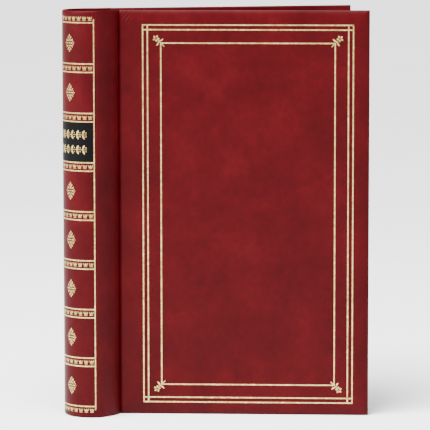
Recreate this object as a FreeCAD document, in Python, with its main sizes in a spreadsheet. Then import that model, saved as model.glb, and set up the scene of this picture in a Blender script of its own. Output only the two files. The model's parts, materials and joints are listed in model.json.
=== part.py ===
import FreeCAD, Part

# Ring-bound photo album standing on its bottom edge with the covers a little apart.
# X runs across the front cover, from the spine to the fore-edge. Y runs from the front cover
# to the back cover. Z is up. The origin is the centre of the bounding box's bottom face.

import math
import os
import Sketcher

Vector = FreeCAD.Vector

# Driving dimensions, in millimetres and degrees.
SIZES = {
    # whole album
    "album_height": 362.0,        # covers and spine, bottom edge to top edge
    "cover_width": 222.0,         # crease to fore-edge
    "splay": 15.6,                # angle between the two covers
    # layers of a cover, from outside to inside
    "skin": 0.6,                  # leatherette
    "pad": 1.2,                   # foam under the outer skin
    "board": 2.2,                 # greyboard
    "endpaper": 0.5,              # inner lining sheet, a little under flush with the turn-in
    "turn_in": 16.0,              # width of skin folded round to the inside
    # rounded spine: angles are measured about the spine's centre from the -Y direction
    "spine_radius": 25.2,         # outer face of the skin
    "spine_board": 1.8,
    "lining": 0.3,
    "spine_middle": 42.0,         # ornament's centre line, towards -X
    "spine_half": 57.0,           # from the centre line to each edge of the spine board
    "crease_angle": 82.8,         # where the front joint meets the front cover, towards +X
    "crease_depth": 2.44,         # how far behind the cover's face the joint meets it
    "joint_thick": 1.6,           # two layers of leatherette glued together
    "joint_gap": 0.8,             # slit in the solids at each bending line
    "back_joint": 22.7,           # straight joint between the round and the back cover
    # gold foil and label
    "foil": 0.1,
    "line_width": 1.1,
    "band_end": 6.6,              # from the spine's end to the middle of its last band
    "side_line_inset": 2.0,       # side line's middle, degrees from the spine board's edge
    "side_line_half": 1.2,        # its half width in degrees
    "side_line_end": 7.0,         # from the spine's end
    "band_half": 3.7,             # from a band's centre to each of its lines
    "motif_tall": 3.6,
    "fleuron_radius": 5.6,
    "label_gap": 0.2,             # between the label and the lines above and below it
    "label_half": 53.0,           # half angle of the label
    "border_left": 21.0,          # outer border line, from the crease
    "border_right": 13.8,         # from the fore-edge
    "border_top": 12.6,
    "border_bottom": 10.8,
    "border_gap": 4.2,            # between the two outer lines
    "inner_border": 16.0,         # from the outer line to the single inner line
    "rose_radius": 4.0,
    # ring mechanism
    "wire_radius": 1.5,
    "ring_room": 4.0,             # between a ring's wire and the spine's lining
    "ring_end": 37.0,             # outer ring from the cover plate's end
    "tip_gap": 0.4,               # between the closed ring tips
    "plate_end": 36.0,            # cover plate's end from the spine's end
    "plate_inset": 1.0,           # its edge, inwards from the middle of the ring wire
    "plate_arch": 34.0,           # outer radius of its arch
    "plate_seat_gap": 0.05,       # between its edges and the lining
    "steel": 0.8,                 # thickness of the plate and the blades
    "leg_inset": 5.5,             # wire leg, inwards from the plate's edge
    "slot_side": 0.6,             # slot in the plate round a wire: above and below it
    "slot_in": 0.8,               # towards the plate's middle
    "slot_out": 1.8,              # towards the plate's edge, where the wire swings
    "blade_inset": 3.0,           # blade's outer edge, where it tilts, from the plate's edge
    "blade_drop": 0.8,            # middle of the blades below the plate's edges
    "blade_gap": 0.4,
    "blade_end": 3.0,             # blade's end from a trigger pin
    "rivet_radius": 2.5,
    "rivet_room": 33.0,           # rivet from the nearest outer ring
    "rivet_recess": 0.2,          # its foot below the spine board's outer face
    "head_radius": 4.2,
    "head_thick": 1.2,
    "relief": 0.7,                # between a rivet and the blades
    "pin_radius": 1.0,
    "pin_half": 12.0,             # half its length
    "pin_rise": 2.0,              # above the blades
    "pin_inset": 4.0,             # from the plate's end
    "running": 0.05,              # radial clearance of a trigger on its pin
    "trigger_half": 6.0,          # half width of a trigger
    "notch_room": 1.0,            # between a trigger and its notch in the plate
    "stem_half": 1.6,             # trigger's stem, half its thickness
    "foot_reach": 5.0,            # foot under the blades: its tip from the pin
    "foot_drop": 4.0,             # its underside below the pin
    "foot_thick": 1.0,
    "tab_rise": 5.6,              # top of the tab above the pin
    "tab_out": 2.8,               # outer face of its top
    "tab_in": 1.2,                # inner face of its top
    # page leaves
    "leaf_thick": 0.7,
    "leaf_recess": 17.0,          # cover's width less the leaf's
    "leaf_end": 16.0,             # leaf's end from the cover's end
    "leaf_margin": 7.0,           # binding edge to the middle of the holes
    "hole_room": 3.0,             # hole's edge from the wire
    "leaf_pitch": 1.1,
    "leaf_room": 0.4,             # between the first leaf and the front cover
    "leaf_angle": 0.8,            # first leaf's angle from the front cover
    "leaf_step": 0.18,            # added for each further leaf
    "back_swing": 0.65,           # last leaf's share of the back cover's angle
}
LEAVES = 10
FRONT_LEAVES = 5                  # these lean on the front cover, the rest fan to the back cover
BANDS = 9
LABEL_FIELD = 5                   # field between two bands that holds the label, from the bottom

doc = FreeCAD.newDocument("photo_album")
sheet = doc.addObject("Spreadsheet::Sheet", "Sizes")
for row, (alias, number) in enumerate(SIZES.items(), 1):
    sheet.set(f"A{row}", alias)
    sheet.set(f"B{row}", str(number))
    sheet.setAlias(f"B{row}", alias)
doc.recompute()


def cell(text):
    """Turn words such as 'skin + 2*pad' into an expression that reads the sheet."""
    for alias in sorted(SIZES, key=len, reverse=True):
        text = text.replace(alias, "\0" + str(list(SIZES).index(alias)) + "\0")
    for index, alias in enumerate(SIZES):
        text = text.replace(f"\0{index}\0", f"Sizes.{alias}")
    return text


def value(alias):
    return float(sheet.get(alias))


# Frames: an origin and a turn about +Z, as words that cell() reads.
CENTRE_X = "(-spine_radius*sin(crease_angle))"
CENTRE_Y = "(crease_depth + spine_radius*cos(crease_angle))"
THICK = "(skin + pad + board + skin)"
BEND_X = f"({CENTRE_X} - spine_radius*sin(splay))"
BEND_Y = f"({CENTRE_Y} + spine_radius*cos(splay))"
SHIFT_X = f"(({CENTRE_X} - spine_radius - foil + cover_width)/2)"
SHIFT_Y = f"(({CENTRE_Y} - spine_radius - foil + {BEND_Y} + (back_joint + cover_width)*sin(splay))/2)"
FRONT = ("0", "0", "0")
BACK = (f"{BEND_X} + back_joint*cos(splay)", f"{BEND_Y} + back_joint*sin(splay)", "splay")
RING = (CENTRE_X, CENTRE_Y, "(90 - spine_middle)")
MIDDLE = "(album_height/2)"
RADIAN = 57.29578                 # in degrees


def bind(piece, **sizes):
    for name, words in sizes.items():
        piece.setExpression(name, cell(words))


def place(piece, frame, x="0", y="0", z="0", extra_turn="0"):
    """Put a piece at x, y, z of a frame, and turn it with the frame."""
    origin_x, origin_y, turn = frame
    base_x = f"{origin_x} + ({x})*cos({turn}) - ({y})*sin({turn}) - {SHIFT_X}"
    base_y = f"{origin_y} + ({x})*sin({turn}) + ({y})*cos({turn}) - {SHIFT_Y}"
    piece.Placement = FreeCAD.Placement(Vector(), FreeCAD.Rotation(Vector(0, 0, 1), 30))
    piece.setExpression("Placement.Base.x", cell(base_x))
    piece.setExpression("Placement.Base.y", cell(base_y))
    piece.setExpression("Placement.Base.z", cell(z))
    piece.setExpression("Placement.Rotation.Angle", cell(f"{turn} + {extra_turn}"))


def box(name, frame, corner, length, width, height):
    piece = doc.addObject("Part::Box", name)
    bind(piece, Length=length, Width=width, Height=height)
    place(piece, frame, *corner)
    return piece


def joined(name, operation, pieces):
    """A Part boolean: Cut takes a base and a tool, the others take a list."""
    result = doc.addObject(f"Part::{operation}", name)
    if operation in ("Cut", "Common"):
        result.Base, result.Tool = pieces
    else:
        result.Shapes = pieces
    return result


def sector(name, outer, inner, start, sweep, z="0", height="album_height"):
    """A slice of a tube about the spine's centre, from an angle measured from +X."""
    frame = (CENTRE_X, CENTRE_Y, "0")
    solid = doc.addObject("Part::Cylinder", name + "_outer")
    bind(solid, Radius=outer, Height=height, Angle=sweep)
    place(solid, frame, z=z, extra_turn=start)
    core = doc.addObject("Part::Cylinder", name + "_core")
    bind(core, Radius=inner, Height=f"{height} + 2")
    place(core, frame, z=f"{z} - 1")
    return joined(name, "Cut", (solid, core))


def across(name, frame_point, radius, length, axis_turn=0.0):
    """A cylinder lying in the plan plane, along the ring frame's X turned by axis_turn."""
    x, y, z = frame_point
    rod = doc.addObject("Part::Cylinder", name)
    bind(rod, Radius=radius, Height=length)
    place(rod, RING, x, y, z)
    rod.setExpression("Placement.Rotation.Angle", None)
    heading = math.radians(90 - value("spine_middle") + axis_turn)
    direction = Vector(math.cos(heading), math.sin(heading), 0)
    rod.Placement.Rotation = FreeCAD.Rotation(Vector(0, 0, 1), direction)
    return rod


def origin_plane(body, role):
    return next(item for item in body.Origin.OriginFeatures if item.Role == role)


def sketch_on(body, role, name):
    sketch = body.newObject("Sketcher::SketchObject", name)
    sketch.AttachmentSupport = (origin_plane(body, role), [""])
    sketch.MapMode = "FlatFace"
    return sketch


def polygon(sketch, points):
    """Closed outline; every corner's two distances from the origin are bound to the sheet."""
    numbers = [tuple(evaluate(words) for words in point) for point in points]
    count = len(numbers)
    for index in range(count):
        start, end = numbers[index], numbers[(index + 1) % count]
        sketch.addGeometry(Part.LineSegment(Vector(*start, 0), Vector(*end, 0)), False)
    for index in range(count):
        join = Sketcher.Constraint("Coincident", index, 2, (index + 1) % count, 1)
        sketch.addConstraint(join)
    for index, point in enumerate(points):
        for kind, words, number in zip(("DistanceX", "DistanceY"), point, numbers[index]):
            pin_corner(sketch, index, kind, words, number)


def pin_corner(sketch, index, kind, words, number):
    if abs(number) < 1e-9:
        axis = -2 if kind == "DistanceX" else -1
        sketch.addConstraint(Sketcher.Constraint("PointOnObject", index, 1, axis))
        return
    pair = (-1, 1, index, 1) if number > 0 else (index, 1, -1, 1)
    place_at = sketch.addConstraint(Sketcher.Constraint(kind, *pair, abs(number)))
    sketch.renameConstraint(place_at, f"{kind}_{index}")
    sign = "" if number > 0 else "-"
    sketch.setExpression(f"Constraints.{kind}_{index}", cell(f"{sign}({words})"))


def circle(sketch, name, x, y, radius):
    x_number, y_number = evaluate(x), evaluate(y)
    centre = Vector(x_number, y_number, 0)
    index = sketch.addGeometry(Part.Circle(centre, Vector(0, 0, 1), evaluate(radius)), False)
    for kind, words, number in (("DistanceX", x, x_number), ("DistanceY", y, y_number)):
        pair = (-1, 1, index, 3) if number > 0 else (index, 3, -1, 1)
        held = sketch.addConstraint(Sketcher.Constraint(kind, *pair, abs(number)))
        sketch.renameConstraint(held, f"{name}_{kind}")
        sign = "" if number > 0 else "-"
        sketch.setExpression(f"Constraints.{name}_{kind}", cell(f"{sign}({words})"))
    size = sketch.addConstraint(Sketcher.Constraint("Radius", index, evaluate(radius)))
    sketch.renameConstraint(size, f"{name}_radius")
    sketch.setExpression(f"Constraints.{name}_radius", cell(radius))


def evaluate(words):
    """The number that an expression has with the sheet's present values."""
    return float(sheet.evalExpression(cell(words).replace("Sizes.", "")))


def padded_body(name, role, points, depth, circles=(), backwards=False):
    body = doc.addObject("PartDesign::Body", name)
    sketch = sketch_on(body, role, name + "_outline")
    polygon(sketch, points)
    for number, (x, y, radius) in enumerate(circles, 1):
        circle(sketch, f"hole_{number}", x, y, radius)
    pad = body.newObject("PartDesign::Pad", name + "_pad")
    pad.Profile = sketch
    pad.Reversed = backwards
    bind(pad, Length=depth)
    sketch.Visibility = False
    return body


def slab(name, frame, x, y, z, length, thick, height):
    """A flat sheet standing on its edge: an outline on the XZ plane padded along +Y."""
    points = (("0", "0"), (length, "0"), (length, height), ("0", height))
    body = padded_body(name, "XZ_Plane", points, thick, backwards=True)
    place(body, frame, x, y, z)
    return body


parts = {}


def keep(name, piece):
    piece.Label = name
    parts[name] = piece


# ---------------------------------------------------------------- spine
EDGE = "(-90 - spine_middle - spine_half)"       # far edge of the spine board
SPAN = "(2*spine_half)"
BOARD_OUT = "(spine_radius - skin)"
BOARD_IN = "(spine_radius - skin - spine_board)"
LINING_IN = "(spine_radius - skin - spine_board - lining)"
GAP_TURN = f"(joint_gap/spine_radius*{RADIAN})"  # the bending slit as an angle
PLATE_LENGTH = "(album_height - 2*plate_end)"
RING_PITCH = f"({PLATE_LENGTH}/2 - ring_end)"
RIVET_HEIGHTS = {"low": f"({MIDDLE} - {RING_PITCH} + rivet_room)",
                 "high": f"({MIDDLE} + {RING_PITCH} - rivet_room)"}


def rivet_shanks(name, radius):
    """One rod for each rivet, from inside the spine board out past the cover plate."""
    rods = [across(f"{name}_{where}", (f"-({BOARD_OUT} - rivet_recess)", "0", z), radius,
                   BOARD_OUT)
            for where, z in RIVET_HEIGHTS.items()]
    return joined(name, "MultiFuse", rods)


def make_spine():
    keep("spine_skin", sector("spine_skin", "spine_radius", BOARD_OUT, EDGE, SPAN))
    board = sector("spine_board_curve", BOARD_OUT, BOARD_IN, EDGE, SPAN,
                   "skin", "(album_height - 2*skin)")
    keep("spine_board", joined("spine_board", "Cut",
                               (board, rivet_shanks("board_holes", "rivet_radius"))))
    lining = sector("lining_curve", BOARD_IN, LINING_IN, EDGE, SPAN,
                    "skin", "(album_height - 2*skin)")
    keep("spine_lining", joined("spine_lining", "Cut",
                                (lining, rivet_shanks("lining_holes", "rivet_radius"))))
    keep("back_joint_curve", sector(
        "back_joint_curve", "spine_radius", "(spine_radius - joint_thick)",
        f"(90 + splay + {GAP_TURN}/2)", f"({EDGE} + 360 - 90 - splay - {GAP_TURN}/2)"))


def foil_shell(name, half, layer="0"):
    """A thin sheet of foil on the spine's skin, centred on the ornament's centre line."""
    inner = f"(spine_radius + {layer})"
    return sector(name, f"({inner} + foil)", inner, f"(-90 - spine_middle - {half})", f"(2*{half})")


def across_slab(name, z, height):
    """A slab that spans the whole spine, used to keep one stretch of its height."""
    reach = "(2*spine_radius)"
    return box(name, RING, (f"-{reach}", f"-{reach}", z), f"(2*{reach})", f"(2*{reach})", height)


BAND_PITCH = f"((album_height - 2*band_end)/{BANDS - 1})"
LABEL_TALL = f"({BAND_PITCH} - 2*band_half - line_width - 2*label_gap)"


def band_height(index):
    return f"({MIDDLE} + {index - (BANDS - 1) / 2}*{BAND_PITCH})"


def make_spine_foil():
    slabs, rows = [], []
    for index in range(BANDS):
        centre = band_height(index)
        rows.append(across_slab(f"motif_row_{index}", f"{centre} - motif_tall/2", "motif_tall"))
        for side, missing in (("-", 0), ("+", BANDS - 1)):
            if index != missing:
                z = f"{centre} {side} band_half - line_width/2"
                slabs.append(across_slab(f"band_line_{index}_{'ab'[side == '+']}", z, "line_width"))
    keep("spine_band_lines", joined("spine_band_lines", "Common",
                                    (foil_shell("band_shell", "(spine_half - 4)"),
                                     joined("band_slabs", "MultiFuse", slabs))))
    keep("spine_motifs", joined("spine_motifs", "Common",
                                (foil_shell("motif_shell", "(spine_half - 6)"),
                                 joined("motif_slabs", "MultiFuse", rows))))
    side_lines = []
    for side in (-1, 1):
        middle = f"(-90 - spine_middle + {side}*(spine_half - side_line_inset))"
        side_lines.append(sector(f"side_line_{side + 1}", "(spine_radius + foil)", "spine_radius",
                                 f"({middle} - side_line_half)", "(2*side_line_half)",
                                 "side_line_end", "(album_height - 2*side_line_end)"))
    keep("spine_side_lines", joined("spine_side_lines", "MultiFuse", side_lines))
    discs = []
    for field in range(BANDS - 1):
        z = f"({MIDDLE} + {field - (BANDS - 2) / 2}*{BAND_PITCH})"
        if field == LABEL_FIELD:
            label = (foil_shell("label_shell", "label_half"),
                     across_slab("label_slab", f"{z} - {LABEL_TALL}/2", LABEL_TALL))
            keep("spine_label", joined("spine_label", "Common", label))
            emblem = (foil_shell("emblem_shell", "(label_half/2)", "foil"),
                      across("emblem_rod", ("-(2*spine_radius)", "0", z),
                             "(1.6*fleuron_radius)", "spine_radius"))
            keep("label_emblem", joined("label_emblem", "Common", emblem))
        else:
            discs.append(across(f"fleuron_{field}", ("-(2*spine_radius)", "0", z),
                                "fleuron_radius", "spine_radius*1.5"))
    keep("spine_fleurons", joined("spine_fleurons", "Common",
                                  (foil_shell("fleuron_shell", "(spine_half/2)"),
                                   joined("fleuron_rods", "MultiFuse", discs))))


# ---------------------------------------------------------------- covers
def make_cover(side, frame, outer):
    """One cover: skin folded round pad and board, with an endpaper inside.

    outer is 1 where the outer face looks along the frame's -Y and -1 where along its +Y.
    """
    def depth(start, thick):
        return start if outer == 1 else f"(-({start}) - ({thick}))"

    inner_width = "(cover_width - 2*skin)"
    inner_height = "(album_height - 2*skin)"
    shell = box(f"{side}_skin_block", frame, ("0", depth("0", THICK), "0"),
                "cover_width", THICK, "album_height")
    core = box(f"{side}_skin_core", frame, ("skin", depth("skin", "(pad + board)"), "skin"),
               inner_width, "(pad + board)", inner_height)
    window = box(f"{side}_skin_window", frame,
                 ("turn_in", depth("(skin + pad)", "(board + 2*skin)"), "turn_in"),
                 "(cover_width - 2*turn_in)", "(board + 2*skin)", "(album_height - 2*turn_in)")
    hollow = joined(f"{side}_skin_hollow", "MultiFuse", [core, window])
    keep(f"{side}_skin", joined(f"{side}_skin", "Cut", (shell, hollow)))
    keep(f"{side}_pad", slab(f"{side}_pad", frame, "skin", depth("skin", "pad"), "skin",
                             inner_width, "pad", inner_height))
    keep(f"{side}_board", slab(f"{side}_board", frame, "skin",
                               depth("(skin + pad)", "board"), "skin",
                               inner_width, "board", inner_height))
    keep(f"{side}_endpaper", slab(f"{side}_endpaper", frame, "turn_in",
                                  depth("(skin + pad + board)", "endpaper"), "turn_in",
                                  "(cover_width - 2*turn_in)", "endpaper",
                                  "(album_height - 2*turn_in)"))


def make_joints():
    start = f"(-90 - spine_middle + spine_half + {GAP_TURN}/2)"
    keep("front_joint", sector("front_joint", "spine_radius", "(spine_radius - joint_thick)",
                               start, f"(crease_angle + spine_middle - spine_half - {GAP_TURN}/2)"))
    keep("back_joint", slab("back_joint_flat", BACK, "joint_gap/2 - back_joint", "-joint_thick",
                            "0", "(back_joint - joint_gap/2)", "joint_thick", "album_height"))


def border_bars(name, inset, overrun):
    """Four bars of a border whose lines lie inset from the outer border line."""
    left, right = f"(border_left + {inset})", f"(cover_width - border_right - {inset})"
    low, high = f"(border_bottom + {inset})", f"(album_height - border_top - {inset})"
    bars = []
    for key, x in (("left", left), ("right", f"({right} - line_width)")):
        bars.append(box(f"{name}_{key}", FRONT, (x, "-foil", f"{low} - {overrun}"),
                        "line_width", "foil", f"({high} - {low} + 2*{overrun})"))
    for key, z in (("low", low), ("high", f"({high} - line_width)")):
        bars.append(box(f"{name}_{key}", FRONT, (f"{left} - {overrun}", "-foil", z),
                        f"({right} - {left} + 2*{overrun})", "foil", "line_width"))
    return bars


def make_front_foil():
    bars = border_bars("outer_line", "0", "0") + border_bars("second_line", "border_gap",
                                                             "border_gap")
    keep("front_border", joined("front_border", "MultiFuse", bars))
    keep("front_inner_border", joined("front_inner_border", "MultiFuse",
                                      border_bars("inner_line", "inner_border", "0")))
    roses = []
    inset = "(inner_border - rose_radius - 1)"
    for key_x, x in (("left", f"border_left + {inset}"),
                     ("right", f"cover_width - border_right - {inset}")):
        for key_z, z in (("low", f"border_bottom + {inset}"),
                         ("high", f"album_height - border_top - {inset}")):
            rose = doc.addObject("Part::Cylinder", f"rose_{key_x}_{key_z}")
            bind(rose, Radius="rose_radius", Height="foil")
            place(rose, FRONT, x, "0", z)
            rose.setExpression("Placement.Rotation.Angle", None)
            rose.Placement.Rotation = FreeCAD.Rotation(Vector(0, 0, 1), Vector(0, -1, 0))
            roses.append(rose)
    keep("front_roses", joined("front_roses", "MultiFuse", roses))


# ---------------------------------------------------------------- ring mechanism
RING_RADIUS = f"({LINING_IN} - ring_room - wire_radius)"     # to the middle of the wire
PLATE_HALF = f"({RING_RADIUS} - plate_inset)"                # half width of the cover plate
LEG_OFFSET = f"({PLATE_HALF} - leg_inset)"
BLADE_EDGE = f"({PLATE_HALF} - blade_inset)"
EDGE_TILT = f"sqrt(1 - ({PLATE_HALF}/plate_arch)^2)"         # cosine of the plate's edge angle
SEAT_REACH = f"({LINING_IN} - plate_seat_gap)"
# depths below the rings' centre: the plate's edges, the blades and the trigger pins
PLATE_SEAT = (f"(sqrt({SEAT_REACH}^2 - ({PLATE_HALF}*(1 - steel/plate_arch))^2)"
              f" - steel*{EDGE_TILT})")
BLADE_LEVEL = f"({PLATE_SEAT} + blade_drop)"
PIN_LEVEL = f"({BLADE_LEVEL} - pin_rise)"
ARCH_CENTRE = f"({PLATE_SEAT} + plate_arch*{EDGE_TILT})"
RING_HEIGHTS = {"bottom": f"({MIDDLE} - {RING_PITCH})", "middle": MIDDLE,
                "top": f"({MIDDLE} + {RING_PITCH})"}
LEG_REACH = f"sqrt({RING_RADIUS}^2 - {LEG_OFFSET}^2)"
PIN_HEIGHTS = {"bottom": "(plate_end + pin_inset)",
               "top": "(album_height - plate_end - pin_inset)"}


def make_cover_plate():
    """Arched steel plate with slots for the wires, rivet holes and a notch at each end."""
    frame = (f"{CENTRE_X} - {ARCH_CENTRE}*cos(90 - spine_middle)",
             f"{CENTRE_Y} - {ARCH_CENTRE}*sin(90 - spine_middle)", "(90 - spine_middle)")
    half_turn = f"(asin({PLATE_HALF}/plate_arch)/1deg)"
    arch = doc.addObject("Part::Cylinder", "plate_outer")
    bind(arch, Radius="plate_arch", Height=PLATE_LENGTH, Angle=f"(2*{half_turn})")
    place(arch, frame, z="plate_end", extra_turn=f"(-{half_turn})")
    core = doc.addObject("Part::Cylinder", "plate_core")
    bind(core, Radius="(plate_arch - steel)", Height=f"({PLATE_LENGTH} + 2)")
    place(core, frame, z="plate_end - 1")
    cutters = [core, rivet_shanks("plate_holes", "rivet_radius")]
    slot_long = "(2*wire_radius + slot_in + slot_out)"
    slot_tall = "(2*wire_radius + 2*slot_side)"
    slot_start = f"({LEG_OFFSET} - wire_radius - slot_in)"
    for where, z in RING_HEIGHTS.items():
        for side in (1, -1):
            y = slot_start if side == 1 else f"(-{slot_start} - {slot_long})"
            cutters.append(box(f"slot_{where}_{'abc'[side + 1]}", RING,
                               (f"-{BLADE_LEVEL}", y, f"{z} - {slot_tall}/2"),
                               "plate_arch/4", slot_long, slot_tall))
    notch_half = "(trigger_half + notch_room)"
    notch_deep = "(pin_inset + stem_half + notch_room)"
    for where, z in (("bottom", "plate_end - 1"),
                     ("top", f"album_height - plate_end - {notch_deep}")):
        cutters.append(box(f"notch_{where}", RING, (f"-{BLADE_LEVEL}", f"-{notch_half}", z),
                           "plate_arch/4", f"(2*{notch_half})", f"({notch_deep} + 1)"))
    keep("ring_cover_plate", joined("ring_cover_plate", "Cut",
                                    (arch, joined("plate_cutters", "MultiFuse", cutters))))


def make_rivets():
    solids = []
    apex = f"(plate_arch - {ARCH_CENTRE})"
    for where, z in RIVET_HEIGHTS.items():
        shank = across(f"rivet_shank_{where}", (f"-({BOARD_OUT} - rivet_recess)", "0", z),
                       "rivet_radius", f"({BOARD_OUT} - rivet_recess + {apex} + head_thick/2)")
        head = across(f"rivet_head_{where}", (apex, "0", z), "head_radius", "head_thick")
        solids.append(joined(f"rivet_{where}", "MultiFuse", [shank, head]))
    keep("rivets", joined("rivets", "MultiFuse", solids))


def make_half_ring(side, sign, where, z):
    """Half a wire ring: a bow, a rounded knee and a straight leg staked into the blade."""
    reach_turn = f"(180 - asin({LEG_OFFSET}/{RING_RADIUS})/1deg)"
    tip = f"(tip_gap/2/{RING_RADIUS}*{RADIAN})"
    name = f"{side}_ring_{where}"
    bow = doc.addObject("Part::Torus", name + "_bow")
    bind(bow, Radius1=RING_RADIUS, Radius2="wire_radius", Angle3=f"({reach_turn} - {tip})")
    place(bow, RING, z=z, extra_turn=tip if sign == 1 else f"(-{reach_turn})")
    knee = doc.addObject("Part::Sphere", name + "_knee")
    bind(knee, Radius="wire_radius")
    place(knee, RING, f"-{LEG_REACH}", f"{sign}*{LEG_OFFSET}", z)
    leg = across(name + "_leg", (f"-{BLADE_LEVEL}", f"{sign}*{LEG_OFFSET}", z), "wire_radius",
                 f"({BLADE_LEVEL} - {LEG_REACH})")
    keep(name, joined(name, "MultiFuse", [bow, knee, leg]))


def make_blade(side, sign):
    """Steel strip that tilts on its outer edge, relieved round the rivets."""
    end_room = "(pin_inset + blade_end)"
    width = f"({BLADE_EDGE} - blade_gap/2)"
    y = "blade_gap/2" if sign == 1 else f"(-{BLADE_EDGE})"
    strip = box(f"{side}_blade_strip", RING,
                (f"-{BLADE_LEVEL} - steel/2", y, f"plate_end + {end_room}"),
                "steel", width, f"({PLATE_LENGTH} - 2*{end_room})")
    relief = rivet_shanks(f"{side}_blade_relief", "(rivet_radius + relief)")
    keep(f"{side}_blade", joined(f"{side}_blade", "Cut", (strip, relief)))


def make_trigger(where, sign, z):
    """Lever on a pin: a tab to press and a foot that lifts the blades."""
    foot_top = "(foot_thick - foot_drop)"
    # outline in the plane of travel: first number outwards along Z, second from the pin
    outline = (("(-foot_reach)", "(-foot_drop)"), ("stem_half", "(-foot_drop)"),
               ("stem_half", "stem_half"), ("tab_out", "tab_rise"), ("tab_in", "tab_rise"),
               ("(-stem_half)", "stem_half"), ("(-stem_half)", foot_top),
               ("(-foot_reach)", foot_top))
    points = [(y, f"{sign}*({x})") for x, y in outline]
    body = padded_body(f"{where}_trigger", "XZ_Plane", points, "(2*trigger_half)",
                       backwards=True)
    hole = sketch_on(body, "XZ_Plane", f"{where}_trigger_hole")
    ring = hole.addGeometry(Part.Circle(Vector(), Vector(0, 0, 1), 1.0), False)
    hole.addConstraint(Sketcher.Constraint("Coincident", ring, 3, -1, 1))
    size = hole.addConstraint(Sketcher.Constraint("Radius", ring, 1.0))
    hole.renameConstraint(size, "bore")
    hole.setExpression("Constraints.bore", cell("pin_radius + running"))
    doc.recompute()
    bore = body.newObject("PartDesign::Pocket", f"{where}_trigger_bore")
    bore.Profile = hole
    bore.Type = "ThroughAll"
    bore.Midplane = True
    place(body, RING, f"-{PIN_LEVEL}", "-trigger_half", z)
    keep(f"{where}_trigger", body)


def make_ring_mechanism():
    make_cover_plate()
    make_rivets()
    for side, sign in (("front", -1), ("back", 1)):
        make_blade(side, sign)
        for where, z in RING_HEIGHTS.items():
            make_half_ring(side, sign, where, z)
    pins = []
    for (where, z), sign in zip(PIN_HEIGHTS.items(), (-1, 1)):
        make_trigger(where, sign, z)
        pins.append(across(f"pin_{where}", (f"-{PIN_LEVEL}", "-pin_half", z), "pin_radius",
                           "(2*pin_half)", 90))
    keep("trigger_pins", joined("trigger_pins", "MultiFuse", pins))


# ---------------------------------------------------------------- page leaves
LEAF_WIDTH = "(cover_width - leaf_recess)"
LEAF_HEIGHT = "(album_height - 2*leaf_end)"
# first leaf's offset from the rings' centre, so that it just clears the front cover
LEAF_FIRST = (f"({THICK} + leaf_room + leaf_thick/2 - {CENTRE_Y}"
              f" + {CENTRE_X}*tan(leaf_angle))")


def make_leaf(index):
    """A pocket page punched for three rings; it turns about the rings' centre."""
    name = f"page_{index + 1:02d}"
    offset = f"({LEAF_FIRST} + {index}*leaf_pitch)"
    swing = max(0, index + 1 - FRONT_LEAVES) / (LEAVES - FRONT_LEAVES)
    turn = f"(leaf_angle + {index}*leaf_step + {swing}*back_swing*splay)"
    holes = [("leaf_margin", f"({z} - leaf_end)", "(wire_radius + hole_room)")
             for z in RING_HEIGHTS.values()]
    points = (("0", "0"), (LEAF_WIDTH, "0"), (LEAF_WIDTH, LEAF_HEIGHT), ("0", LEAF_HEIGHT))
    body = padded_body(name, "XZ_Plane", points, "leaf_thick", holes, backwards=True)
    place(body, (CENTRE_X, CENTRE_Y, turn), f"sqrt({RING_RADIUS}^2 - {offset}^2) - leaf_margin",
          f"{offset} - leaf_thick/2", "leaf_end")
    keep(name, body)


make_spine()
make_spine_foil()
make_joints()
make_cover("front", FRONT, 1)
make_cover("back", BACK, -1)
make_front_foil()
make_ring_mechanism()
for leaf in range(LEAVES):
    make_leaf(leaf)
doc.recompute()

for item in doc.Objects:
    if "Invalid" in item.State or "Error" in item.State:
        raise RuntimeError(f"{item.Name} did not build: {item.State}")
os.makedirs("parts", exist_ok=True)
for name, piece in parts.items():
    if piece.Shape.isNull() or not piece.Shape.isValid() or piece.Shape.Volume <= 0:
        raise RuntimeError(f"{name} has no valid shape")
    piece.Shape.exportStep(f"parts/{name}.step")
print(len(parts), "parts written")
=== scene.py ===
import json
import math

import bmesh
import bpy
import numpy as np
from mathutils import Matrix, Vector


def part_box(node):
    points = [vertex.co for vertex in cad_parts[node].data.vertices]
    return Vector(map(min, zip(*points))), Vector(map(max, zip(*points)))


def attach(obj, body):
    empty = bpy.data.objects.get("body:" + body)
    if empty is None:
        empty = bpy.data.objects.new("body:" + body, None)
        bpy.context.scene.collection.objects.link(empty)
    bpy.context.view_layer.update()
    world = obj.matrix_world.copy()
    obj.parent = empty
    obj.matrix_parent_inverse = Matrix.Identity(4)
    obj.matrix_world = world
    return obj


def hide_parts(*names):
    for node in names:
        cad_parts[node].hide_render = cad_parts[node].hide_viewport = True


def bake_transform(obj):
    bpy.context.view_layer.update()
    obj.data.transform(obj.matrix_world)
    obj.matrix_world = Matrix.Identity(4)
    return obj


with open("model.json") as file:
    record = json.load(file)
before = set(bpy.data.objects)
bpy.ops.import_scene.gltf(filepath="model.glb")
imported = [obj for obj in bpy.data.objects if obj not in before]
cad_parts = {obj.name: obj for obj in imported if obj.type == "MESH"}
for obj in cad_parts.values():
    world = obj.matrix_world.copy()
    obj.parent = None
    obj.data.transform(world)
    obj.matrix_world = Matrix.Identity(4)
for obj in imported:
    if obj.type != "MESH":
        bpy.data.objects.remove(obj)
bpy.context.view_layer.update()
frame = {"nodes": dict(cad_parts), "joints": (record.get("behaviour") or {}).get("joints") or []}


# ---------------------------------------------------------------- camera
# Place in metres, angles in degrees, lens in millimetres, shift in widths of the picture.
CAMERA_PLACE = (0.1243, -2.5, 0.4959)
CAMERA_PITCH = 6.42
CAMERA_YAW = 2.35
CAMERA_LENS = 234.3
CAMERA_SHIFT = (-0.062, -0.1)


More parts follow.
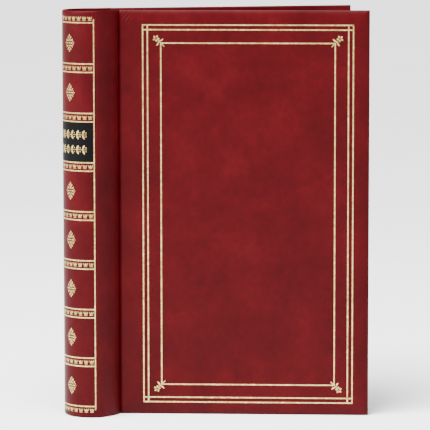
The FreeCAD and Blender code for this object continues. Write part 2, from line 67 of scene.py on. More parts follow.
def make_camera():
    """A viewpoint far off, a little above the album, looking slightly down."""
    data = bpy.data.cameras.new("camera")
    data.sensor_width = 36.0
    data.lens = CAMERA_LENS
    data.shift_x = CAMERA_SHIFT[0]
    data.shift_y = CAMERA_SHIFT[1]
    data.clip_end = 50.0
    camera = bpy.data.objects.new("camera", data)
    bpy.context.scene.collection.objects.link(camera)
    camera.location = CAMERA_PLACE
    camera.rotation_euler = (math.radians(90 - CAMERA_PITCH), 0.0, math.radians(CAMERA_YAW))
    bpy.context.scene.camera = camera


make_camera()


# ---------------------------------------------------------------- places from the frame
# Lengths are in millimetres until they reach a mesh, and angles are in degrees.
MM = 0.001
JOINTS = {joint["name"]: np.array(joint["pos_m"]) / MM for joint in frame["joints"]}
CENTRE = JOINTS["leaf_01_turn"][:2]
FRONT_BEND = JOINTS["front_cover_hinge"][:2]
BACK_BEND = JOINTS["back_cover_hinge"][:2]
RADIUS = float(np.linalg.norm(FRONT_BEND - CENTRE))


def corners(node):
    low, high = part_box(node)
    return np.array(low) / MM, np.array(high) / MM


def heights(node):
    low, high = corners(node)
    return low[2], high[2]


def turned(angle):
    """Plan direction at an angle from +X."""
    return np.array([math.cos(math.radians(angle)), math.sin(math.radians(angle))])


def node_points(node):
    data = frame["nodes"][node].data
    points = np.zeros(len(data.vertices) * 3)
    data.vertices.foreach_get("co", points)
    return points.reshape(-1, 3) / MM


def level_pairs(node):
    """Bottom and top of each strip in a node of level strips, from the lowest up."""
    levels = sorted(set(np.round(node_points(node)[:, 2], 2)))
    return list(zip(levels[0::2], levels[1::2]))


def reach_along(node, origin, direction):
    """How far a node starts and ends along a plan direction from a plan point."""
    along = (node_points(node)[:, :2] - origin) @ direction
    return float(along.min()), float(along.max())


def turns_about_centre(node):
    """First and last angle of a curved node about the spine's centre, through the -Y side."""
    away = node_points(node)[:, :2] - CENTRE
    turns = (np.degrees(np.arctan2(away[:, 1], away[:, 0])) - 90) % 360 + 90
    return float(turns.min()), float(turns.max())


FRONT_LOW, FRONT_HIGH = corners("front_skin")
WIDTH, THICK, HEIGHT = FRONT_HIGH - FRONT_LOW
PAPER_LOW = corners("front_endpaper")[0]
PAPER_SINK = 0.05
TURN_IN = PAPER_LOW[0] - FRONT_LOW[0]
RECESS = FRONT_HIGH[1] - PAPER_LOW[1] + PAPER_SINK
SPLAY = math.degrees(math.acos((BACK_BEND[1] - CENTRE[1]) / RADIUS))
BACK_JOINT = reach_along("back_skin", BACK_BEND, turned(SPLAY))[0]
BACK_CREASE = BACK_BEND + BACK_JOINT * turned(SPLAY)
BOARD_START, BOARD_END = turns_about_centre("spine_skin")
CREASE_TURN = turns_about_centre("front_joint")[1]
ORNAMENT_TURN = (BOARD_START + BOARD_END) / 2
LINING_RADIUS = float(np.linalg.norm(node_points("spine_lining")[:, :2] - CENTRE, axis=1).min())


# ---------------------------------------------------------------- materials
def material(name):
    made = bpy.data.materials.new(name)
    made.use_nodes = True
    return made, Nodes(made.node_tree)


class Nodes:
    """Short calls for wiring a material's nodes."""

    def __init__(self, tree):
        self.tree = tree
        self.shader = next(node for node in tree.nodes if node.type == "BSDF_PRINCIPLED")
        self.place = self.add("ShaderNodeTexCoord").outputs["Object"]

    def add(self, kind, settings=None, **inputs):
        node = self.tree.nodes.new(kind)
        for key, setting in (settings or {}).items():
            setattr(node, key, setting)
        for key, source in inputs.items():
            self.feed(node.inputs[key.replace("_", " ")], source)
        return node

    def feed(self, socket, source):
        if isinstance(source, bpy.types.NodeSocket):
            self.tree.links.new(source, socket)
        else:
            socket.default_value = source

    def stretched(self, x, y, z):
        node = self.add("ShaderNodeMapping", Vector=self.place, Scale=(x, y, z))
        return node.outputs["Vector"]

    def noise(self, scale, detail=3.0, roughness=0.55, vector=None):
        node = self.add("ShaderNodeTexNoise", Vector=vector or self.place, Scale=scale,
                        Detail=detail, Roughness=roughness)
        return node.outputs["Fac"]

    def cells(self, scale):
        node = self.add("ShaderNodeTexVoronoi", {"feature": "SMOOTH_F1"}, Vector=self.place,
                        Scale=scale)
        return node.outputs["Distance"]

    def ramp(self, source, *stops):
        node = self.add("ShaderNodeValToRGB", Fac=source)
        elements = node.color_ramp.elements
        while len(elements) < len(stops):
            elements.new(0.5)
        for element, (position, colour) in zip(elements, stops):
            element.position = position
            element.color = (*colour, 1.0)
        return node.outputs["Color"]

    def range(self, source, low, high):
        node = self.add("ShaderNodeMapRange", Value=source)
        node.inputs["To Min"].default_value = low
        node.inputs["To Max"].default_value = high
        return node.outputs["Result"]

    def multiply(self, factor, first, second):
        node = self.add("ShaderNodeMix", {"data_type": "RGBA", "blend_type": "MULTIPLY"})
        self.feed(node.inputs[0], factor)
        self.feed(node.inputs[6], first)
        self.feed(node.inputs[7], second)
        return node.outputs[2]

    def bump(self, height, strength, distance, normal=None):
        node = self.add("ShaderNodeBump", Height=height, Strength=strength, Distance=distance)
        if normal is not None:
            self.feed(node.inputs["Normal"], normal)
        return node.outputs["Normal"]

    def finish(self, colour, roughness, normal, **constants):
        self.feed(self.shader.inputs["Base Color"], colour)
        self.feed(self.shader.inputs["Roughness"], roughness)
        self.feed(self.shader.inputs["Normal"], normal)
        for key, constant in constants.items():
            self.shader.inputs[key.replace("_", " ")].default_value = constant


def leatherette(name, dark, middle, light, roughness=(0.34, 0.5)):
    """Printed leather grain: pebbles with fine creases between them, over mottled dye."""
    made, nodes = material(name)
    clouds = nodes.noise(22.0, detail=6.0, roughness=0.68)
    fine_clouds = nodes.noise(190.0, detail=4.0, roughness=0.65)
    dye = nodes.ramp(clouds, (0.28, dark), (0.50, middle), (0.74, light))
    speckle = nodes.ramp(fine_clouds, (0.32, (0.80, 0.80, 0.80)), (0.68, (1.0, 1.0, 1.0)))
    dye = nodes.multiply(1.0, dye, speckle)
    pebbles = nodes.cells(1150.0)
    creases = nodes.noise(900.0, detail=5.0, roughness=0.7)
    pits = nodes.ramp(pebbles, (0.0, (1.0, 1.0, 1.0)), (0.75, (0.72, 0.72, 0.72)))
    colour = nodes.multiply(0.45, dye, pits)
    normal = nodes.bump(nodes.noise(60.0, detail=2.0), 0.10, 0.0008)
    normal = nodes.bump(pebbles, 0.22, 0.00012, normal)
    normal = nodes.bump(creases, 0.22, 0.00010, normal)
    nodes.finish(colour, nodes.range(clouds, *roughness), normal, Specular_IOR_Level=0.06)
    return made


def gold_foil():
    """Stamped foil: bright, a little uneven, with the leather's grain pressed into it."""
    made, nodes = material("gold_foil")
    tone = nodes.ramp(nodes.noise(380.0, detail=4.0), (0.3, (0.36, 0.23, 0.07)),
                      (0.55, (0.60, 0.43, 0.16)), (0.8, (0.92, 0.77, 0.42)))
    normal = nodes.bump(nodes.noise(1500.0), 0.35, 0.00006)
    normal = nodes.bump(nodes.noise(240.0, detail=2.0), 0.35, 0.0002, normal)
    wear = nodes.noise(700.0, detail=2.0)
    nodes.finish(tone, nodes.range(wear, 0.24, 0.44), normal, Metallic=0.85)
    return made


def paper(name, light, shade):
    """Matt paper with long faint fibres and a fine tooth."""
    made, nodes = material(name)
    fibres = nodes.noise(90.0, detail=8.0, roughness=0.7,
                         vector=nodes.stretched(1.0, 1.0, 0.25))
    colour = nodes.ramp(fibres, (0.3, shade), (0.65, light))
    tooth = nodes.noise(1600.0, detail=4.0, roughness=0.7)
    normal = nodes.bump(tooth, 0.25, 0.00008)
    nodes.finish(colour, nodes.range(fibres, 0.62, 0.85), normal, Specular_IOR_Level=0.25)
    return made


def greyboard():
    """Recycled board: flecked, with its layers showing at the edges."""
    made, nodes = material("greyboard")
    flecks = nodes.noise(700.0, detail=6.0, roughness=0.75)
    colour = nodes.ramp(flecks, (0.35, (0.18, 0.16, 0.13)), (0.65, (0.40, 0.37, 0.31)))
    layers = nodes.noise(250.0, roughness=0.6, vector=nodes.stretched(0.1, 6.0, 0.1))
    nodes.finish(colour, 0.9, nodes.bump(layers, 0.5, 0.0003), Specular_IOR_Level=0.1)
    return made


def nickel():
    """Plated steel with a faint drawn grain and cloudy handling marks."""
    made, nodes = material("nickel")
    drawn = nodes.noise(900.0, detail=4.0, roughness=0.6,
                        vector=nodes.stretched(1.0, 1.0, 0.06))
    smears = nodes.noise(70.0)
    colour = nodes.ramp(smears, (0.3, (0.52, 0.52, 0.51)), (0.7, (0.74, 0.74, 0.73)))
    nodes.finish(colour, nodes.range(smears, 0.16, 0.32), nodes.bump(drawn, 0.12, 0.00005),
                 Metallic=1.0)
    return made


def page_film():
    """Frosted polypropylene with slight ripples from the welds."""
    made, nodes = material("page_film")
    ripples = nodes.noise(45.0, roughness=0.5, vector=nodes.stretched(1.0, 1.0, 0.35))
    colour = nodes.ramp(ripples, (0.3, (0.56, 0.59, 0.60)), (0.7, (0.70, 0.72, 0.72)))
    normal = nodes.bump(ripples, 0.25, 0.0012)
    normal = nodes.bump(nodes.noise(2200.0, detail=2.0), 0.2, 0.00004, normal)
    nodes.finish(colour, nodes.range(ripples, 0.22, 0.38), normal, Coat_Weight=0.3,
                 Coat_Roughness=0.15)
    return made


BURGUNDY = leatherette("burgundy_leatherette", (0.038, 0.0008, 0.0018), (0.051, 0.0012, 0.0026),
                       (0.069, 0.0022, 0.0038))
LABEL_BLACK = leatherette("black_label", (0.0010, 0.0010, 0.0012), (0.0018, 0.0018, 0.0020),
                          (0.0030, 0.0030, 0.0033), (0.42, 0.55))
GOLD = gold_foil()
LINING = paper("lining_paper", (0.74, 0.70, 0.60), (0.60, 0.56, 0.47))
INSERT = paper("print_insert", (0.70, 0.64, 0.53), (0.60, 0.54, 0.44))
GREYBOARD = greyboard()
NICKEL = nickel()
FILM = page_film()


# ---------------------------------------------------------------- mesh helpers
def build(name, points, faces, look, smooth=True):
    """A mesh object from points in millimetres."""
    data = bpy.data.meshes.new(name)
    data.from_pydata((np.asarray(points) * MM).tolist(), [], faces)
    piece = bpy.data.objects.new(name, data)
    bpy.context.scene.collection.objects.link(piece)
    mesh = bmesh.new()
    mesh.from_mesh(data)
    bmesh.ops.remove_doubles(mesh, verts=mesh.verts, dist=1e-7)
    bmesh.ops.recalc_face_normals(mesh, faces=mesh.faces)
    for face in mesh.faces:
        face.smooth = smooth
    mesh.to_mesh(data)
    mesh.free()
    data.materials.append(look)
    return piece


def grid_faces(rows, columns, offset=0, closed=False):
    """Quads between neighbouring points of a grid; closed joins the last column to the first."""
    faces = []
    for row in range(rows - 1):
        for column in range(columns if closed else columns - 1):
            here, beside = column, (column + 1) % columns
            faces.append([offset + row * columns + here, offset + row * columns + beside,
                          offset + (row + 1) * columns + beside,
                          offset + (row + 1) * columns + here])
    return faces


SEAM_HALF = 0.12


def steps(length, edge, stride, *seams, fine=()):
    """Positions along a length: close together round both edges, at seams and where fine."""
    round_off = [edge * (1 - math.cos(math.radians(turn))) for turn in range(0, 90, 15)]
    inside = np.linspace(edge, length - edge, int((length - 2 * edge) / stride))
    marks = list(round_off) + list(inside) + [length - value for value in round_off]
    marks += [mark for mark in fine if edge < mark < length - edge]
    for seam in seams:
        marks += [seam - SEAM_HALF, seam + SEAM_HALF]
    return np.array(sorted(set(round(value, 5) for value in marks)))


def ripple(x, z, seed):
    """Slight unevenness of a stretched skin, between -1 and 1."""
    waves = ((0.041, 0.023, 0.3), (0.019, -0.047, 1.9), (0.083, 0.061, 4.1), (-0.057, 0.094, 2.6))
    total = sum(np.sin(x * a + z * b + phase + seed) for a, b, phase in waves)
    return total / len(waves)


# ---------------------------------------------------------------- covers
OUTER_ROUND = 3.4
INNER_ROUND = 1.2
ROUND_POWER = 2.4
WIDEST_SHARE = 0.62
SWELL = 0.10
BEVEL = 9.5
BEVEL_DROP = 1.9
BEVEL_POWER = 1.15
# The small slanted folds where the skin is turned in, near the crease's top corner.
FOLDS_FROM_CREASE = 7.0
FOLDS_FROM_TOP = 8.0
FOLDS_WIDE = 5.0
FOLDS_TALL = 7.0
FOLD_DEPTH = 0.20
FOLD_SLANT = 1.25
FOLD_WAVES = 1.35
# Distances between the points of a cover's mesh, which are closer where the folds are.
COVER_STRIDE = 2.0
COVER_STRIDE_UP = 2.2
FINE_STRIDE = 0.7
FINE_ACROSS = (4, 18)
FINE_FROM_TOP = 20


def cover_face(x, z, seed):
    """Depth of a cover's outer face behind its flat plane, in millimetres, and never negative."""
    across = (x - FOLDS_FROM_CREASE) / FOLDS_WIDE
    up = (z - HEIGHT + FOLDS_FROM_TOP) / FOLDS_TALL
    waves = 1 + np.sin((z - FOLD_SLANT * x) * FOLD_WAVES)
    folds = FOLD_DEPTH * np.exp(-across ** 2 - up ** 2) * waves
    from_rim = np.minimum(WIDTH - x, np.minimum(z, HEIGHT - z))
    bevel = BEVEL_DROP * np.clip(1 - from_rim / BEVEL, 0, 1) ** BEVEL_POWER
    return SWELL * (1 + ripple(x, z, seed)) + folds + bevel


def edge_profile(x, z, radius):
    """From 0 at the cover's rim to 1 where its face is flat."""
    across = np.minimum(x, WIDTH - x)
    up = np.minimum(z, HEIGHT - z)
    gap_x = np.clip(1 - across / radius, 0, 1)
    gap_z = np.clip(1 - up / radius, 0, 1)
    gap = (gap_x ** ROUND_POWER + gap_z ** ROUND_POWER) ** (1 / ROUND_POWER)
    return np.sqrt(1 - np.clip(gap, 0, 1) ** 2)


def cover_leather(name, to_world, seed):
    """Skin over the padded board: a crowned outer face, and a turn-in round the endpaper."""
    across = steps(WIDTH, OUTER_ROUND, COVER_STRIDE, TURN_IN, WIDTH - TURN_IN,
                   fine=np.arange(*FINE_ACROSS, FINE_STRIDE))
    up = steps(HEIGHT, OUTER_ROUND, COVER_STRIDE_UP, TURN_IN, HEIGHT - TURN_IN,
               fine=np.arange(HEIGHT - FINE_FROM_TOP, HEIGHT, FINE_STRIDE))
    x, z = np.meshgrid(across, up, indexing="ij")
    widest = THICK * WIDEST_SHARE
    outer = widest - (widest - cover_face(x, z, seed)) * edge_profile(x, z, OUTER_ROUND)
    window = (x > TURN_IN) & (x < WIDTH - TURN_IN) & (z > TURN_IN) & (z < HEIGHT - TURN_IN)
    inner = widest + (THICK - widest) * edge_profile(x, z, INNER_ROUND)
    inner = np.where(window, THICK - RECESS, inner)
    points = [to_world(x.ravel(), depth.ravel(), z.ravel()) for depth in (outer, inner)]
    rows, columns = x.shape
    faces = grid_faces(rows, columns) + grid_faces(rows, columns, offset=x.size)
    return build(name, np.vstack(points), faces, BURGUNDY)


def front_place(x, depth, z):
    return np.stack([FRONT_LOW[0] + x, FRONT_LOW[1] + depth, z], axis=-1)


def back_place(x, depth, z):
    plan = BACK_CREASE + np.outer(x, turned(SPLAY)) - np.outer(depth, turned(SPLAY + 90))
    return np.column_stack([plan, z])


def make_covers():
    for side, place, seed in (("front", front_place, 0.0), ("back", back_place, 2.2)):
        leather = cover_leather(f"{side}_cover_leather", place, seed)
        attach(leather, f"{side}_cover")
        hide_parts(f"{side}_skin", f"{side}_pad", f"{side}_board")


# ---------------------------------------------------------------- spine and joints
END_FOLD = 13.0
FOLD_STEP = 0.2
SPINE_RECESS = 0.85
LINING_OVERLAP = 0.35
FRONT_JOINT_WALL = 1.4
BACK_JOINT_WALL = 1.6
FRONT_GROOVE = 1.3
BACK_GROOVE = 0.9
# Last points of each joint's leather behind its cover's edge: along the cover, and inwards.
FRONT_TUCK = ((1.0, 0.5), (2.6, 0.7))
FRONT_TUCK_TURNS = (-30, -80)
BACK_TUCK = ((1.2, 1.3), (3.0, 1.9))
# Numbers of points along each line.
SECTION_POINTS = 92
ROLL_POINTS = 9
SPINE_POINTS = 60
BACK_CURVE_POINTS = 28
FRONT_JOINT_POINTS = 34
BACK_JOINT_POINTS = 26


def band(name, plan_points, outward, wall, recess=0.0):
    """A leather-covered wall along a plan path, with rounded top and bottom edges.

    plan_points and outward give the outer line and its normals, and recess how much thinner the
    wall is between the turn-ins at the top and the bottom.
    """
    half = wall / 2
    roll = np.radians(np.linspace(0, 180, ROLL_POINTS))
    straight = np.linspace(0, HEIGHT, SECTION_POINTS)
    outer = [(0.0, z) for z in straight if half < z < HEIGHT - half]
    top = [(half * math.cos(turn) - half, HEIGHT - half + half * math.sin(turn))
           for turn in roll]
    inner = [(-wall, HEIGHT - END_FOLD), (recess - wall, HEIGHT - END_FOLD - FOLD_STEP),
             (recess - wall, END_FOLD + FOLD_STEP), (-wall, END_FOLD)]
    bottom = [(-(half * math.cos(turn) + half), half - half * math.sin(turn)) for turn in roll]
    section = np.array(outer + top + inner + bottom)
    loops = []
    for point, normal in zip(plan_points, outward):
        plan = point + np.outer(section[:, 0], normal)
        loops.append(np.column_stack([plan, section[:, 1]]))
    rows, columns = len(loops), len(section)
    faces = grid_faces(rows, columns, closed=True)
    faces += [list(range(columns)), [(rows - 1) * columns + index for index in range(columns)]]
    return build(name, np.vstack(loops), faces, BURGUNDY)


def arc(start, end, count):
    """Points on the spine's round from one angle to another, and the directions outwards."""
    turns = np.linspace(start, end, count)
    outward = np.array([turned(turn) for turn in turns])
    return CENTRE + RADIUS * outward, outward


def grooved(points, outward, depth):
    """An outer line sunk between its ends, like a pressed groove."""
    share = np.linspace(0, 1, len(points))
    return points - outward * (depth * np.sin(math.pi * share) ** 2)[:, None]


def make_spine():
    curve = band("back_joint_leather_curve",
                 *arc(90 + SPLAY, BOARD_START, BACK_CURVE_POINTS), BACK_JOINT_WALL)
    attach(curve, "spine")
    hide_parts("back_joint_curve")
    leather = band("spine_leather", *arc(BOARD_START, BOARD_END, SPINE_POINTS),
                   RADIUS - LINING_RADIUS + LINING_OVERLAP, SPINE_RECESS)
    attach(leather, "spine")
    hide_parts("spine_skin")


def make_front_joint():
    """Curved flexible leather from the spine to the front cover, tucked in behind its edge."""
    points, outward = arc(BOARD_END, CREASE_TURN, FRONT_JOINT_POINTS)
    points = grooved(points, outward, FRONT_GROOVE)
    end = points[-1]
    points = np.vstack([points] + [end + offset for offset in FRONT_TUCK])
    outward = np.vstack([outward] + [turned(turn) for turn in FRONT_TUCK_TURNS])
    leather = band("front_joint_leather", points, outward, FRONT_JOINT_WALL)
    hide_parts("front_joint")
    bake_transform(leather)


def make_back_joint():
    """Straight flexible leather from the spine's curve to the back cover, tucked in likewise."""
    direction, outside = turned(SPLAY), turned(SPLAY + 90)
    share = np.linspace(0, 1, BACK_JOINT_POINTS)
    points = BACK_BEND + np.outer(share * BACK_JOINT, direction)
    outward = np.tile(outside, (len(points), 1))
    points = grooved(points, outward, BACK_GROOVE)
    end = points[-1]
    tucked = [end + along * direction - inwards * outside for along, inwards in BACK_TUCK]
    points = np.vstack([points] + tucked)
    outward = np.vstack([outward] + [outside] * len(tucked))
    leather = band("back_joint_leather", points, outward, BACK_JOINT_WALL)
    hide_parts("back_joint")
    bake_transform(leather)


# ---------------------------------------------------------------- gold tooling
FOIL_SINK = 0.06
FOIL_LIFT = 0.05
ROSE_LIFT = 0.08
SPRIG_LIFT = 0.12
# Sizes of the squares that foil is cut into, so that it follows the surface under it.
MOTIF_CELL = 1.2
SIDE_LINE_CELL = 3.0
BORDER_CELL = 4.0


def lens(x, y, length, width, turn, bend=0.0):
    """A pointed leaf; bend curves its middle line sideways."""
    share = np.linspace(0, 1, 9)
    swell = width / 2 * np.sin(math.pi * share) ** 0.8
    along = (share - 0.5) * length
    middle = bend * length * (1 - (2 * share - 1) ** 2)
    upper = np.column_stack([along, middle + swell])
    lower = np.column_stack([along[1:-1], middle[1:-1] - swell[1:-1]])[::-1]
    return moved(np.vstack([upper, lower]), x, y, turn)


def dot(x, y, radius, sides=10):
    turns = np.radians(np.arange(sides) * 360 / sides)
    return np.column_stack([x + radius * np.cos(turns), y + radius * np.sin(turns)])


def bar(x_low, x_high, y_low, y_high):
    return np.array([(x_low, y_low), (x_high, y_low), (x_high, y_high), (x_low, y_high)])


def moved(outline, x, y, turn):
    along, up = turned(turn), turned(turn + 90)
    return np.outer(outline[:, 0], along) + np.outer(outline[:, 1], up) + (x, y)


def mirrored(outlines):
    return outlines + [outline[::-1] * (-1, 1) for outline in outlines]


def tulip():
    """Small three-petalled flower on a bar, for the rows across the spine."""
    side = [lens(0.95, 0.25, 2.6, 0.80, 62, -0.12), dot(1.75, 1.35, 0.28, 8)]
    return mirrored(side) + [lens(0, 0.35, 2.9, 0.95, 90), bar(-1.5, 1.5, -1.75, -1.30)]


def fleuron():
    """Upright lozenge of leaves: two spread flowers that meet at a berry."""
    side = []
    for up in (1, -1):
        flip = np.array([1, up])
        side += [lens(1.25, 5.0, 3.0, 1.25, 66, -0.10) * flip,
                 lens(2.75, 2.9, 3.1, 1.25, 46, -0.10) * flip,
                 lens(1.0, 2.2, 2.0, 0.85, 62) * flip, dot(4.15, 1.5, 0.52, 8) * flip]
    side += [lens(2.6, 0, 3.4, 1.25, 0), dot(5.1, 0, 0.5, 8)]
    middle = [lens(0, up * 6.6, 2.8, 1.25, 90) for up in (1, -1)]
    middle += [lens(0, up * 3.3, 2.5, 0.85, 90) for up in (1, -1)] + [dot(0, 0, 0.62)]
    return mirrored(side) + middle


def sprig(leaves, pitch):
    """A running branch of paired leaves and berries, for the label."""
    shapes = [bar(-leaves * pitch / 2, leaves * pitch / 2, -0.22, 0.22)]
    for index in range(leaves):
        x = (index - (leaves - 1) / 2) * pitch
        shapes += [lens(x, 2.1, 4.4, 1.9, 62), lens(x, -2.1, 4.4, 1.9, -62),
                   dot(x + pitch * 0.42, 1.7, 0.5, 8), dot(x + pitch * 0.42, -1.7, 0.5, 8)]
    return shapes


def rose():
    """Flower on a leafy stem, pointing along +X from the corner it grows from."""
    shapes = [lens(5.0 + 1.9 * math.cos(turn), 1.9 * math.sin(turn), 2.5, 1.75,
                   math.degrees(turn)) for turn in np.radians([0, 72, 144, 216, 288])]
    shapes += [lens(1.0, 2.3, 4.6, 1.45, 104, 0.12), lens(1.0, -2.3, 4.6, 1.45, -104, -0.12),
               bar(-3.6, 2.9, -0.30, 0.30), lens(-4.3, 0.0, 2.4, 1.0, 0)]
    return shapes


def stamp(name, outlines, surface, body, stands_for=(), look=GOLD,
          lift=FOIL_LIFT, cell=MOTIF_CELL):
    """Thin pieces cut from flat outlines, laid on a surface that surface(x, z, height) gives."""
    mesh = bmesh.new()
    for outline in outlines:
        mesh.faces.new([mesh.verts.new((x, 0.0, z)) for x, z in outline])
    edges = np.vstack(outlines)
    for axis, normal in ((0, (1, 0, 0)), (1, (0, 0, 1))):
        low, high = edges[:, axis].min(), edges[:, axis].max()
        for cut in np.arange(low + cell, high, cell):
            plane = (cut, 0, 0) if axis == 0 else (0, 0, cut)
            geometry = mesh.verts[:] + mesh.edges[:] + mesh.faces[:]
            bmesh.ops.bisect_plane(mesh, geom=geometry, plane_co=plane, plane_no=normal,
                                   dist=1e-6)
    bmesh.ops.triangulate(mesh, faces=[face for face in mesh.faces if len(face.verts) > 4])
    mesh.verts.index_update()
    flat = np.array([vert.co for vert in mesh.verts])
    faces = [[vert.index for vert in face.verts] for face in mesh.faces]
    rims = [[vert.index for vert in edge.verts] for edge in mesh.edges if edge.is_boundary]
    mesh.free()
    count = len(flat)
    top = surface(flat[:, 0], flat[:, 2], lift)
    base = surface(flat[:, 0], flat[:, 2], -FOIL_SINK)
    solid = faces + [[count + index for index in face] for face in faces]
    solid += [[a, b, count + b, count + a] for a, b in rims]
    piece = build(name, np.vstack([top, base]), solid, look, smooth=False)
    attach(piece, body)
    if stands_for:
        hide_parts(*stands_for)


def on_front(x, z, lift):
    return front_place(x, cover_face(x, z, 0.0) - lift, z)


def on_spine(along, z, lift):
    """along is measured round the spine from the ornament's centre line, towards the front."""
    turns = np.radians(ORNAMENT_TURN + np.degrees(np.asarray(along) / RADIUS))
    reach = RADIUS + lift
    return np.column_stack([CENTRE[0] + reach * np.cos(turns), CENTRE[1] + reach * np.sin(turns),
                            z])


def shifted(outlines, x, z):
    return [outline + (x, z) for outline in outlines]


MOTIFS = 9
MOTIF_PITCH = 5.05
SIDE_LINE_INSET = 1.6
SIDE_LINE_HALF = 0.5
LABEL_INSET = 1.2
SPRIG_LEAVES = 6
SPRIG_PITCH = 5.6
SPRIG_OFFSET = 6.6
# Half the spine's width between its side lines, measured round the curve.
TOOLED_HALF = math.radians((BOARD_END - BOARD_START) / 2) * RADIUS - SIDE_LINE_INSET


def make_spine_lines():
    lines = [bar(-TOOLED_HALF, TOOLED_HALF, low, high)
             for low, high in level_pairs("spine_band_lines")]
    stamp("spine_lines", lines, on_spine, "spine", ["spine_band_lines"])
    sides = [bar(sign * TOOLED_HALF - SIDE_LINE_HALF, sign * TOOLED_HALF + SIDE_LINE_HALF,
                 *heights("spine_side_lines")) for sign in (-1, 1)]
    stamp("spine_edge_lines", sides, on_spine, "spine", ["spine_side_lines"],
          cell=SIDE_LINE_CELL)


def make_spine_ornaments():
    """A row of small flowers in each band, and a fleuron in each field without a label."""
    rows = [(low + high) / 2 for low, high in level_pairs("spine_motifs")]
    places = [(index - (MOTIFS - 1) / 2) * MOTIF_PITCH for index in range(MOTIFS)]
    flowers = [outline for z in rows for along in places
               for outline in shifted(tulip(), along, z)]
    stamp("spine_flower_rows", flowers, on_spine, "spine", ["spine_motifs"])
    label_low, label_high = heights("spine_label")
    fields = [(low + high) / 2 for low, high in zip(rows, rows[1:])]
    ornaments = [outline for z in fields if not label_low < z < label_high
                 for outline in shifted(fleuron(), 0, z)]
    stamp("spine_ornaments", ornaments, on_spine, "spine", ["spine_fleurons"])


def make_spine_label():
    low, high = heights("spine_label")
    half = TOOLED_HALF - LABEL_INSET
    stamp("spine_label_panel", [bar(-half, half, low, high)], on_spine, "spine",
          ["spine_label"], LABEL_BLACK)
    sprigs = [outline for offset in (SPRIG_OFFSET, -SPRIG_OFFSET) for outline in
              shifted(sprig(SPRIG_LEAVES, SPRIG_PITCH), 0, (low + high) / 2 + offset)]
    stamp("label_sprigs", sprigs, on_spine, "spine", ["label_emblem"], lift=SPRIG_LIFT)


BORDER_GAP = 4.2
LINE = 1.15


def border(left, right, bottom, top, overrun=0.0):
    """Four lines of a border; overrun carries them past its corners."""
    return [bar(left, left + LINE, bottom - overrun, top + overrun),
            bar(right - LINE, right, bottom - overrun, top + overrun),
            bar(left - overrun, right + overrun, bottom, bottom + LINE),
            bar(left - overrun, right + overrun, top - LINE, top)]


def sides_on_front(node):
    """A node's left, right, bottom and top, measured from the front cover's lower corner."""
    low, high = corners(node)
    return low[0] - FRONT_LOW[0], high[0] - FRONT_LOW[0], low[2], high[2]


def make_front_borders():
    left, right, bottom, top = sides_on_front("front_border")
    outer = border(left, right, bottom, top)
    second = border(left + BORDER_GAP, right - BORDER_GAP, bottom + BORDER_GAP, top - BORDER_GAP,
                    overrun=BORDER_GAP - LINE)
    inner = border(*sides_on_front("front_inner_border"))
    for name, lines, nodes in (("border_outer_lines", outer, ["front_border"]),
                               ("border_second_lines", second, []),
                               ("border_inner_lines", inner, ["front_inner_border"])):
        stamp(name, lines, on_front, "front_cover", nodes, cell=BORDER_CELL)


def make_roses():
    """A rose that points outwards from each corner of the inner border."""
    left, right, bottom, top = sides_on_front("front_inner_border")
    roses = []
    for x, z, turn in ((left, bottom, 225), (right, bottom, 315), (left, top, 135),
                       (right, top, 45)):
        roses += [moved(outline, x, z, turn) for outline in rose()]
    stamp("corner_roses", roses, on_front, "front_cover", ["front_roses"], lift=ROSE_LIFT)


# ---------------------------------------------------------------- pages
PRINT_WIDE = 152.0
PRINT_TALL = 102.0
PRINT_MARGIN = 10.0
POCKETS = 3
WELD = 1.4
WELD_MARGIN = 3.0
WELD_END = 2.0
PRINT_LIFT = 0.06
WELD_LIFT = 0.09
PAGE_CELL = 60.0


def page_outlines(end, low, high):
    """The prints and the welds of one face, on a page that ends at end, from low to high."""
    pocket = (high - low) / POCKETS
    left = end - PRINT_MARGIN - PRINT_WIDE
    prints, welds = [], []
    for index in range(POCKETS):
        middle = low + (index + 0.5) * pocket
        prints.append(bar(left, left + PRINT_WIDE, middle - PRINT_TALL / 2,
                          middle + PRINT_TALL / 2))
    first, last = left - WELD_MARGIN, end - WELD_MARGIN
    for index in range(1, POCKETS):
        middle = low + index * pocket
        welds.append(bar(first, last, middle - WELD / 2, middle + WELD / 2))
    for side in (first - WELD, last):
        welds.append(bar(side, side + WELD, low + WELD_END, high - WELD_END))
    return prints, welds


def make_page(node):
    """Print inserts in welded pockets on both faces of a leaf."""
    plan = node_points(node)[:, :2]
    direction = np.linalg.svd(plan - plan.mean(axis=0), full_matrices=False)[2][0]
    direction = direction if direction[0] > 0 else -direction
    normal = np.array([-direction[1], direction[0]])
    end = reach_along(node, CENTRE, direction)[1]
    prints, welds = page_outlines(end, *heights(node))
    body = node.replace("page", "leaf")
    faces = zip(("front", "back"), (-1, 1), reach_along(node, CENTRE, normal))
    for face, sign, edge in faces:

        def on_page(x, z, lift, edge=edge, sign=sign):
            place = CENTRE + np.outer(x, direction) + (edge + sign * lift) * normal
            return np.column_stack([place, z])

        stamp(f"{node}_{face}_prints", prints, on_page, body, look=INSERT,
              lift=PRINT_LIFT, cell=PAGE_CELL)
        stamp(f"{node}_{face}_welds", welds, on_page, body, look=FILM,
              lift=WELD_LIFT, cell=PAGE_CELL)


def make_pages():
    for node in sorted(name for name in frame["nodes"] if name.startswith("page_")):
        make_page(node)


# ---------------------------------------------------------------- carried-over nodes
# By the start of a node's name.
CAD_LOOKS = {"page_": FILM, "spine_board": GREYBOARD, "spine_lining": LINING,
             "front_endpaper": LINING, "back_endpaper": LINING}


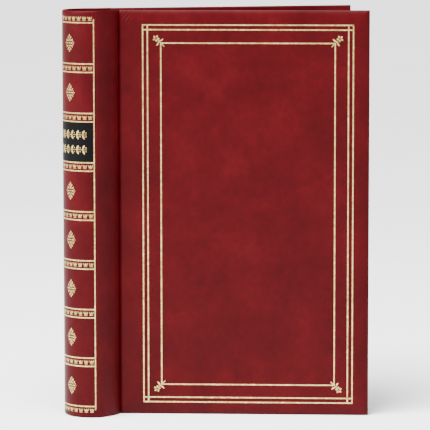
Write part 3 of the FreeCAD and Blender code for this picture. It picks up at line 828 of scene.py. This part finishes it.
def dress_cad_nodes():
    """Every node that still shows is film, board or paper, or else a metal part of the rings."""
    for name, node in frame["nodes"].items():
        if node.hide_render:
            continue
        looks = [look for start, look in CAD_LOOKS.items() if name.startswith(start)]
        node.data.materials.clear()
        node.data.materials.append(looks[0] if looks else NICKEL)


# ---------------------------------------------------------------- stage
FLOOR_RADIUS = 60000.0


def make_stage():
    """A pale round floor, wide enough to reach the horizon from any side."""
    turns = np.radians(np.arange(0, 360, 10))
    rim = FLOOR_RADIUS * np.column_stack([np.cos(turns), np.sin(turns), 0 * turns])
    made, nodes = material("studio_floor")
    tone = nodes.ramp(nodes.noise(3.0), (0.3, (0.92, 0.92, 0.92)), (0.7, (0.95, 0.95, 0.95)))
    tooth = nodes.noise(400.0, detail=2.0)
    nodes.finish(tone, 0.9, nodes.bump(tooth, 0.05, 0.0003), Specular_IOR_Level=0.1)
    build("studio_floor", rim, [list(range(len(rim)))], made)


def light(name, kind, energy, direction):
    data = bpy.data.lights.new(name, kind)
    data.energy = energy
    lamp = bpy.data.objects.new(name, data)
    bpy.context.scene.collection.objects.link(lamp)
    lamp.rotation_euler = Vector(direction).to_track_quat("-Z", "Y").to_euler()
    return lamp


def area_light(name, place, aim, size, power):
    lamp = light(name, "AREA", power, np.subtract(aim, place))
    lamp.location = place
    lamp.data.size = size


def sun_light(name, direction, strength, angle):
    light(name, "SUN", strength, direction).data.angle = math.radians(angle)


def make_lights():
    """A broad window from the upper left, two soft boxes and an even white surround."""
    sun_light("window", direction=(0.50, 0.46, -1.1), strength=7.6, angle=40.0)
    area_light("key", place=(-1.2, -0.75, 1.0), aim=(0.0, 0.0, 0.2), size=0.8, power=42.0)
    area_light("top", place=(0.05, -0.5, 1.6), aim=(0.0, 0.0, 0.25), size=0.9, power=50.0)
    world = bpy.data.worlds.new("studio")
    world.use_nodes = True
    background = world.node_tree.nodes["Background"]
    background.inputs["Color"].default_value = (1.0, 1.0, 1.0, 1.0)
    background.inputs["Strength"].default_value = 0.55
    bpy.context.scene.world = world


make_stage()
make_lights()
make_covers()
make_spine()
make_front_joint()
make_back_joint()
make_spine_lines()
make_spine_ornaments()
make_spine_label()
make_front_borders()
make_roses()
make_pages()
dress_cad_nodes()
